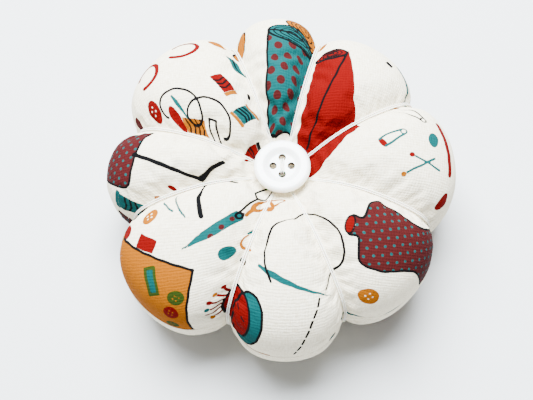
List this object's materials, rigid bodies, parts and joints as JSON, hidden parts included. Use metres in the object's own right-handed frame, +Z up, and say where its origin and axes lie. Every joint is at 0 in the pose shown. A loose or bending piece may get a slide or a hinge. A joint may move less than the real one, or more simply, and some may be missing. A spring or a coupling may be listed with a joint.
{
  "type": "pin cushion",
  "caption": "Round stuffed cotton pin cushion drawn into petals by doubled threads, with a four-hole button sewn into the top dimple and a backing button under the base.",
  "frame": {"origin": "on the axis of the cushion's core, on the surface that the petals rest on", "axes": "+Z up along the core through both buttons; -Y towards the narrow front petal, +X to the right of it"},
  "size_m": [0.1123, 0.1153, 0.0436],
  "materials": {
    "printed_cotton": "matte",
    "polyester_fibrefill": "matte",
    "sewing_thread": "matte",
    "dividing_thread": "satin",
    "button_thread": "satin",
    "button_resin": "gloss"
  },
  "bodies": {
    "cushion": {"top_cover": "printed_cotton", "bottom_cover": "printed_cotton", "stuffing": "polyester_fibrefill", "rim_seam": "sewing_thread", "closing_stitches": "sewing_thread", "dividing_thread_1": "dividing_thread", "dividing_thread_2": "dividing_thread", "dividing_thread_3": "dividing_thread", "dividing_thread_4": "dividing_thread", "dividing_thread_5": "dividing_thread", "dividing_thread_6": "dividing_thread", "dividing_thread_7": "dividing_thread", "dividing_thread_8": "dividing_thread", "dividing_thread_knot": "dividing_thread", "tie_thread": "button_thread"},
    "top_shank": {"top_thread_shank": "button_thread"},
    "top_button": {"top_button": "button_resin", "top_button_stitches": "button_thread"},
    "base_button": {"base_button": "button_resin", "base_button_stitches": "button_thread", "base_knot": "button_thread"}
  },
  "joints": [
    {"name": "top_button_rock", "type": "hinge", "parent": "cushion", "child": "top_shank", "pos_m": [0, 0, 0.03], "axis": [1, 0, 0], "range_deg": [-3, 3], "stiffness_Nm_per_rad": 0.002},
    {"name": "top_button_turn", "type": "hinge", "parent": "top_shank", "child": "top_button", "pos_m": [0, 0, 0.034], "axis": [0, 0, 1], "range_deg": [-20, 20], "stiffness_Nm_per_rad": 0.0001},
    {"name": "base_button_turn", "type": "hinge", "parent": "cushion", "child": "base_button", "pos_m": [0, 0, 0.005], "axis": [0, 0, 1], "range_deg": [-20, 20], "stiffness_Nm_per_rad": 0.0001}
  ]
}
